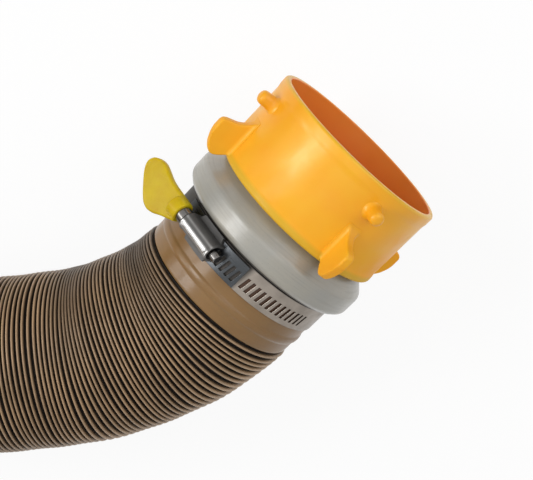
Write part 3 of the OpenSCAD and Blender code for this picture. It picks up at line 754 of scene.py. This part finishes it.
class HOSEKIT_OT_couplers(HoseKitStep, bpy.types.Operator):
    """The grey coupler of each end, with its barbed spigot, cone, band and neck, and the washer behind it"""
    bl_idname = "hosekit.couplers"
    bl_label = "Couplers and washers"

    def execute(self, context):
        profile = [
            (-96.9, 35), (-96.9, 37.3), (-95.4, SPIGOT_R), (-88.9, SPIGOT_R), (-88.9, 37.9),
            (-84.9, SPIGOT_R), (-80.9, SPIGOT_R), (-80.9, 37.9), (-76.9, SPIGOT_R), (FACE_X, SPIGOT_R),
            (FACE_X, 48.1), (COLLAR_END_X, COLLAR_R), (CONE_END_X, COLLAR_R), (CONE_X, NECK_R),
            (-42, NECK_R), (-42, 40), (-39.2, 40), (-39.2, NECK_R), (-36.4, NECK_R), (-36.4, 41),
            (-34.2, 41), (-34.2, NECK_R), (-32.5, NECK_R), (-31.3, 41.2), (-31.3, 35)]
        radius = np.full(len(profile), 0.2)
        radius[[10, 11, 12, 23]] = 0.5, 1.3, 1.6, 0.5
        cushion = rounded([(CUFF_X, 38.9), (CUFF_X, 44.8), (FACE_X, 44.8), (FACE_X, 38.9)], 0.3)
        black = rubber("washer_rubber")
        for name, mouth, _ in ENDS:
            body = make_piece(name + "coupler_body", [turned(rounded(profile, radius), mouth)],
                              coupler_plastic(name + "coupler_grey", mouth))
            dressed(body, "hose", "coupler_plastic", name + "coupler")
            washer = make_piece(name + "washer", [turned(cushion, mouth)], black)
            dressed(washer, "hose", "seal_rubber", name + "cuff_washer")
        return {"FINISHED"}


class HOSEKIT_OT_cuffs(HoseKitStep, bpy.types.Operator):
    """The smooth moulded cuff at each end of the hose, with its raised bead"""
    bl_idname = "hosekit.cuffs"
    bl_label = "Hose cuffs"

    def execute(self, context):
        profile = [
            (CUFF_END_X, 39), (CUFF_END_X, 43.7), (CUFF_END_X + 0.9, CUFF_R), (-91.9, CUFF_R), (-90.9, 44.62),
            (-89.5, 44.78), (-88.1, 44.62), (-87.2, CUFF_R), (-67.3, CUFF_R), (CUFF_X, 43.7), (CUFF_X, 38.9),
            (-97.2, 38.9), (-97.2, 39)]
        radius = [0.3, 0.4, 0.4, 0.8, 0.5, 0.6, 0.5, 0.8, 0.3, 0.3, 0.2, 0.05, 0.05]
        for name, mouth, _ in ENDS:
            cuff = make_piece(name + "smooth_cuff", [turned(rounded(profile, radius), mouth)],
                              cuff_vinyl(name + "cuff_vinyl_skin", mouth))
            dressed(cuff, "hose", "cuff_vinyl", name + "hose_cuff")
        return {"FINISHED"}


def slotted(mouth, clamp_deg, radius, half_width, angles, slot_angles, wrap, shade_angles=(0, 0)):
    """A curved steel strip in two grids of points, with slanted slots left out between stated angles.
    Along the slanted grid lines, a point moves round the strip as it moves across it. The shades that come
    with it are painted shade on the steel: 1 on the inside and down in the slots, and a lesser painted shade
    on the outside between two stated angles and along one edge."""
    across = np.unique(np.round(np.concatenate([np.linspace(*SLOT_X, 5), half_width * np.linspace(-1, 1, 5),
                                                [half_width - 0.5]]), 4))
    lead = np.tan(np.radians(9)) / radius * 180 / np.pi
    slant = lead * np.ones_like(angles)
    if not wrap:
        slant = lead * np.clip(np.minimum(angles - angles[0], angles[-1] - angles) / 3.0, 0, 1)
    a = angles[None] - slant[None] * (across[:, None] + 1)
    x = across[:, None] + 0 * a
    outer, inner = (from_clamp(around(np.stack([x, 0 * x, 0 * x + r], -1), a), clamp_deg, mouth)
                    for r in (radius + BAND_T, radius))
    middle = (angles[:-1] + angles[1:]) / 2 if not wrap else angles + (np.roll(angles, -1) - angles) % 360 / 2
    half_slot = SLOT_HALF / radius * 180 / np.pi
    away = np.abs((middle[:, None] - slot_angles[None] + 180) % 360 - 180).min(1)
    cell_x = (across[:-1] + across[1:]) / 2
    keep = ~((away < half_slot)[None] & ((cell_x > SLOT_X[0]) & (cell_x < SLOT_X[1]))[:, None])
    shell, used = plate(outer, inner, keep)
    turn = (a.ravel()[used % a.size] + 180) % 360 - 180
    edge = x.ravel()[used % a.size] > half_width - 0.1
    # Painted shade: all of the inside and the slot walls, and the outside between the stated angles and along
    # one edge.
    painted_strip_shade = STRIP_SHADE * ((turn > shade_angles[0]) & (turn < shade_angles[1]) | edge)
    return [shell], np.where(used >= a.size, 1.0, painted_strip_shade)


class HOSEKIT_OT_clamps(HoseKitStep, bpy.types.Operator):
    """The worm-drive clamp of each end: slotted band, its loose tail, saddle, housing, worm screw and key"""
    bl_idname = "hosekit.clamps"
    bl_label = "Clamps"

    def slots(self, radius, first, count):
        """The angles of a strip's slots, and of the grid lines along both sides of each."""
        middles = first - np.degrees(THREAD_LEAD / radius) * np.arange(count)
        half = np.degrees(SLOT_HALF / radius)
        return middles, np.concatenate([middles - half, middles + half])

    def band(self, mouth, degrees):
        """A closed hoop 14 mm wide, slotted beside the housing."""
        slots, sides = self.slots(BAND_IN_R, -35, 13)
        angles = np.concatenate([np.sort(sides), np.arange(-30, 270, 4.0)])
        # Painted shade on the band's outside from -32 to 75 degrees: under the tail and beside the key.
        return slotted(mouth, degrees, BAND_IN_R, 7.0, angles, slots, True, (-32, 75))

    def tail(self, mouth, degrees):
        """The band's loose end, 13 mm wide, an arc over the hoop with slots for the screw."""
        slots, sides = self.slots(TAIL_IN_R, 24, 14)
        angles = np.sort(np.concatenate([[-31.0, 27.0], sides]))
        return slotted(mouth, degrees, TAIL_IN_R, 6.5, angles, slots, False)

    def saddle(self, mouth, degrees):
        """A shallow channel under the screw, carried 17.6 degrees round the fitting."""
        outline = rounded([(-7.75, 44.9), (-7.75, 46.4), (-7.15, 46.4), (-7.15, 45.5), (7.15, 45.5),
                           (7.15, 46.4), (7.75, 46.4), (7.75, 44.9)], [0.5] + [0.2] * 6 + [0.5])
        turns = np.linspace(-8.8, 8.8, 13)
        x, r = outline.T
        strip = np.stack([around(np.stack([x, 0 * x, r], -1), a) for a in turns])
        return [tube(from_clamp(strip, degrees, mouth))], None

    def housing(self, mouth, degrees):
        """A pressed channel over the screw, with rolled ends and a foot on each side. Painted shade darkens
        the feet and sides and leaves a painted highlight along the crest."""
        ends = np.array([9.5, 9.9, 10.3, 10.5])
        y = np.concatenate([-ends[::-1], np.linspace(-8.9, 8.9, 25), ends])[:, None]
        a = np.linspace(0, np.pi, 17)
        roll = (0.32 * np.clip((np.abs(y) - 9.2) / 0.5, 0, 1)
                * np.sqrt(np.clip((10.75 - np.abs(y)) / 0.5, 0, 1)))
        waist = -0.06 * np.exp(-((y - 2.5) / 2.2) ** 2) - 0.05 * np.exp(-((y + 4.5) / 1.6) ** 2)
        outer = 4.5 + roll + waist
        foot = np.clip(3.25 - 3.0 * np.clip(np.abs(y) - 7.2, 0, 1.2) ** 2 / 1.44, 0.25, 3.25)
        base = np.sqrt(46.47 ** 2 - y ** 2)
        top = np.maximum(base + 0.85, 47.25)
        left = [(-4.5 - foot, base), (-4.5 - foot - 0.02, base + 0.5), (-4.5 - foot + 0.2, top),
                (-4.7, top + 0.05), (-4.5 - roll, top + 0.5)]
        arc_out = [(-np.cos(t) * outer, SCREW_AT_R + np.sin(t) * outer) for t in a]
        right = [(-u, v) for u, v in left[::-1]]
        arc_in = [(np.cos(t) * 3.62, SCREW_AT_R + np.sin(t) * 3.62) for t in a]
        section = left + arc_out + right + [(3.62, base)] + arc_in + [(-3.62, base)]
        x, z = (np.concatenate([at[k] + 0 * y for at in section], 1) for k in (0, 1))
        # Painted shade on the feet and sides; the bare strip just left of the crest is a painted highlight.
        steel_shade = np.interp(x, (-4.4, -2.8, -2.0, -0.6, 0.5, 2.2, 2.7, 3.2),
                          (0.88, 0.75, 0, 0, 0.9, 0.9, 0.5, 0.93))
        return [tube(from_clamp(np.stack([x, y + 0 * x, z], -1), degrees, mouth))], steel_shade.ravel()

    def screw(self, mouth, degrees):
        """A worm screw: its radius follows how far a point is round the thread's helix."""
        y = np.concatenate([[-14.5, -14.45, -14.2], np.arange(-13.8, 11.05, 0.22),
                            [11.1, 11.15, 14.9, 14.95, 15.0, 20.0]])[:, None]
        turn = circle(48)[None]
        phase = (y / THREAD_LEAD - turn / (2 * np.pi)) % 1.0
        crest = np.clip(1.9 * (1 - np.abs(phase - 0.5) * 2.6), 0, 1)
        thread = 2.8 + 0.66 * crest * np.clip((8.6 - np.abs(y)) / 1.5, 0, 1)
        core = np.where(np.abs(y) < 8.9, thread, 2.4)
        tip = 2.4 - 0.4 * np.clip((-14.2 - y) / 0.3, 0, 1)
        r = np.where(y < -13.8, tip, core)
        r = np.where((y > 11.1) & (y < 14.95), 4.1, r)
        r = np.where(y >= 15.0, 2.8, r)
        points = np.stack([r * np.cos(turn), y + 0 * r, SCREW_AT_R + r * np.sin(turn)], -1)
        return [tube(from_clamp(points, degrees, mouth))], None

    def key(self, mouth, degrees):
        """A flat lobed thumb blade with soft edges, and the barrel that holds the screw's head."""
        blade = rounded([(-5.6, 0.2), (-7.4, 4), (-9.3, 8), (-11.8, 12), (-12.9, 16), (-12.1, 19.5),
                         (-9.7, 23), (-6.3, 27), (-2.6, 31), (0.4, 33), (3, 33.4), (5.8, 32), (7.8, 28.5),
                         (8.3, 25), (7.4, 21), (6.2, 17), (5.7, 13), (5.6, 7), (5.5, 0.2)],
                        [0.8] + [3] * 17 + [0.8], 6)
        x, y, z = np.moveaxis(slab(blade, -2.0, 2.0, 1.25, 6), -1, 0)
        flat = np.stack([x, y + 15.0, z + SCREW_AT_R], -1)
        barrel = rounded([(0, 2.85), (0, 5.5), (7.0, 5.5), (7.0, 1.0), (5.2, 1.0), (5.2, 2.85)],
                         [0.2, 0.8, 1.6, 0.4, 0.1, 0.1])
        a = circle(64)
        along, r = columns(barrel)
        sleeve = np.stack([r * np.cos(a), along + 15.0 + 0 * a, SCREW_AT_R + r * np.sin(a)], -1)
        return [tube(from_clamp(flat, degrees, mouth)),
                tube(from_clamp(sleeve, degrees, mouth), wrap=True)], None

    def execute(self, context):
        spring = rolled_steel("band_steel", (0.30, 0.262, 0.225), 0.28, 0.46)
        # Painted shade: the tail is the band's steel, painted much darker.
        shaded_tail_steel = rolled_steel("tail_steel_shaded", (0.07, 0.075, 0.08), 0.22, 0.4)
        even = (0.3, 0.3, 0.3)
        # Pale steel that shows bare only on the crest, where it is a painted highlight.
        pressed = rolled_steel("housing_steel", (0.80, 0.79, 0.77), 0.15, 0.25, even, 0.00002, 0.000003)
        plated = rolled_steel("worm_steel", (0.22, 0.21, 0.20), 0.14, 0.28, even, 0.00003, 0.000003)
        yellow = key_plastic("key_yellow")
        for end, mouth, degrees in ENDS:
            for name, make, material, body, slot, node in (
                    ("slotted_band", self.band, spring, "hose", "clamp_steel", "clamp_band"),
                    ("band_tail", self.tail, shaded_tail_steel, end + "tail", "clamp_steel", "clamp_tail"),
                    ("saddle", self.saddle, plated, "hose", "clamp_steel", "clamp_saddle"),
                    ("worm_housing", self.housing, pressed, "hose", "clamp_steel", "clamp_housing"),
                    ("worm", self.screw, plated, end + "screw", "screw_steel", "clamp_screw"),
                    ("thumb_key", self.key, yellow, end + "screw", "key_plastic", "clamp_key")):
                shells, shades = make(mouth, degrees)
                piece = make_piece(end + name, shells, material, shades=shades)
                if name in ("slotted_band", "band_tail"):
                    bevelled(piece, STRIP_ROUND)
                dressed(piece, body, slot, end + node)
        return {"FINISHED"}


class HOSEKIT_OT_hose(HoseKitStep, bpy.types.Operator):
    """The hose: a liner, and a skin of one long rib wound round it, laid along the route"""
    bl_idname = "hosekit.hose"
    bl_label = "Hose"

    def execute(self, context):
        hose = HoseLine()
        s, a = np.meshgrid(np.linspace(0, hose.length, 300), circle(48), indexing="ij")
        outer, inner = (hose.place(s, a, np.full(s.shape, radius * MM)) for radius in (LINER_R, HOSE_BORE_R))
        liner = make_piece("hose_liner", [tube(np.concatenate([outer, inner[::-1]]), wrap=True)],
                           liner_vinyl("liner_dark"))
        dressed(liner, "hose", "hose_vinyl", "hose_wall")
        vinyl = rib_vinyl("rib_skin")
        turns = round(hose.length / sizes().rib_pitch)
        near = sizes().near_turns
        middle = (near + turns) // 2
        for name, first, last, steps, crown in (("near_ribs", 0, near, 96, FINE_CROWN),
                                                ("middle_ribs", near, middle, 56, PLAIN_CROWN),
                                                ("far_ribs", middle, turns - 1, 56, PLAIN_CROWN)):
            shell, shade = ribbed_strip(hose, first, last, steps, crown)
            skin = make_piece(name, [shell], vinyl, 60, shade)
            dressed(skin, "hose", "hose_vinyl", "hose_wall")
        return {"FINISHED"}


class HOSEKIT_OT_finishes(HoseKitStep, bpy.types.Operator):
    """Finishes for the solids that stay as they are: the o-rings and the spring retaining rings"""
    bl_idname = "hosekit.finishes"
    bl_label = "Carried-over solids"

    def execute(self, context):
        black = rubber("o_ring_rubber")
        bright = rolled_steel("retainer_steel", (0.7, 0.7, 0.7), 0.2, 0.4)
        for node, material in (("swivel_o_ring", black), ("far_o_ring", black),
                               ("swivel_retaining_ring", bright), ("far_retaining_ring", bright)):
            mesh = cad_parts[node].data
            mesh.materials.clear()
            mesh.materials.append(material)
        return {"FINISHED"}


class HOSEKIT_OT_stage(HoseKitStep, bpy.types.Operator):
    """Camera, soft lights and a plain pale floor"""
    bl_idname = "hosekit.stage"
    bl_label = "Camera and stage"

    def light(self, name, direction, distance, size, watts, at=(-0.04, 0, 0)):
        """A rectangular lamp at a distance from a point and aimed at it."""
        data = bpy.data.lights.new(name, "AREA")
        data.shape, data.size, data.size_y, data.energy = "RECTANGLE", size[0], size[1], watts
        lamp = placed(name, data)
        aim = Vector(direction).normalized()
        lamp.location = Vector(at) + aim * distance
        lamp.rotation_euler = aim.to_track_quat("Z", "Y").to_euler()

    def execute(self, context):
        scene = context.scene
        lens = bpy.data.cameras.new("camera")
        lens.lens, lens.sensor_width, lens.clip_start, lens.clip_end = 67.54, 36.0, 0.02, 20
        camera = placed("camera", lens)
        right, up, back = (0.6775, -0.7354, -0.0172), (0.6882, 0.6419, -0.3381), (0.2597, 0.2172, 0.9409)
        turn = Matrix((right, up, back)).transposed()
        camera.matrix_world = Matrix.Translation((0.0615, 0.1069, 0.4605)) @ turn.to_4x4()
        scene.camera = camera

        floor = grid_sheet("floor", FLOOR_WIDTH, FLOOR_Z)
        world = bpy.data.worlds.new("white")
        world.use_nodes = True
        white = Nodes(world.node_tree)
        background = white.tree.nodes["Background"].inputs
        background["Color"].default_value = (1, 1, 1, 1)
        white.wire(white.between(white.seen(), 0.0, 1.0, 0.37, 1.0), background["Strength"])
        scene.world = world
        self.light("key_light", (-0.19, 0.74, 0.65), 1.1, (0.5, 0.35), 5.6)
        self.light("fill_light", (1.0, -0.35, 0.8), 1.4, (1.0, 1.0), 5.2)
        self.light("front_light", (0.15, 0.05, 1.0), 1.3, (0.9, 0.9), 2.8)
        self.light("glint_light", (-0.41, 0.86, 0.30), 1.1, (0.3, 0.3), 1.6)
        scene.view_settings.view_transform = "Standard"
        return {"FINISHED"}


def white_board():
    """Plain white board. Rays that show it see it nine tenths as white light, which leaves a soft shadow."""
    f = Finish("white_board", roughness=0.9)
    f.wire(f.ramp(f.noise(3, 2), [(0.0, 0.93), (1.0, 0.96)]), f.shader.inputs["Base Color"])
    glow, both = f.node("ShaderNodeEmission"), f.node("ShaderNodeMixShader")
    f.wire(f.maths("MULTIPLY", f.seen(), 0.9), both.inputs[0])
    f.wire(f.shader.outputs[0], both.inputs[1])
    f.wire(glow.outputs[0], both.inputs[2])
    f.wire(both.outputs[0], f.tree.nodes["Material Output"].inputs["Surface"])
    return f.material


def grid_sheet(name, width, height):
    """The floor: one level square."""
    half = width / 2
    mesh = bpy.data.meshes.new(name)
    corners = [(-half, -half, height), (half, -half, height), (half, half, height), (-half, half, height)]
    mesh.from_pydata(corners, [], [(0, 1, 2, 3)])
    mesh.materials.append(white_board())
    return placed(name, mesh)


class HOSEKIT_PT_panel(bpy.types.Panel):
    bl_label = "Sewer Hose Kit"
    bl_idname = "HOSEKIT_PT_panel"
    bl_space_type = "VIEW_3D"
    bl_region_type = "UI"
    bl_category = "Hose Kit"

    def draw(self, context):
        for title, group in (("Sizes", sizes()), ("Colours", colours())):
            box = self.layout.box()
            box.label(text=title)
            for key in group.bl_rna.properties.keys():
                if key not in {"rna_type", "name"}:
                    box.prop(group, key)
        steps = self.layout.column(align=True)
        for step in STEPS:
            steps.operator(step.bl_idname)


STEPS = (HOSEKIT_OT_stage, HOSEKIT_OT_swivel_ring, HOSEKIT_OT_couplers, HOSEKIT_OT_cuffs, HOSEKIT_OT_clamps,
         HOSEKIT_OT_bayonet_ring, HOSEKIT_OT_hose, HOSEKIT_OT_finishes)
CLASSES = (HoseKitSizes, HoseKitColours, *STEPS, HOSEKIT_PT_panel)


def register():
    for made in CLASSES:
        bpy.utils.register_class(made)
    bpy.types.Scene.hose_kit_sizes = PointerProperty(type=HoseKitSizes)
    bpy.types.Scene.hose_kit_colours = PointerProperty(type=HoseKitColours)


def unregister():
    del bpy.types.Scene.hose_kit_sizes
    del bpy.types.Scene.hose_kit_colours
    for made in reversed(CLASSES):
        bpy.utils.unregister_class(made)


def main():
    register()
    for step in STEPS:
        getattr(bpy.ops.hosekit, step.bl_idname.split(".")[1])()


if __name__ == "__main__":
    main()
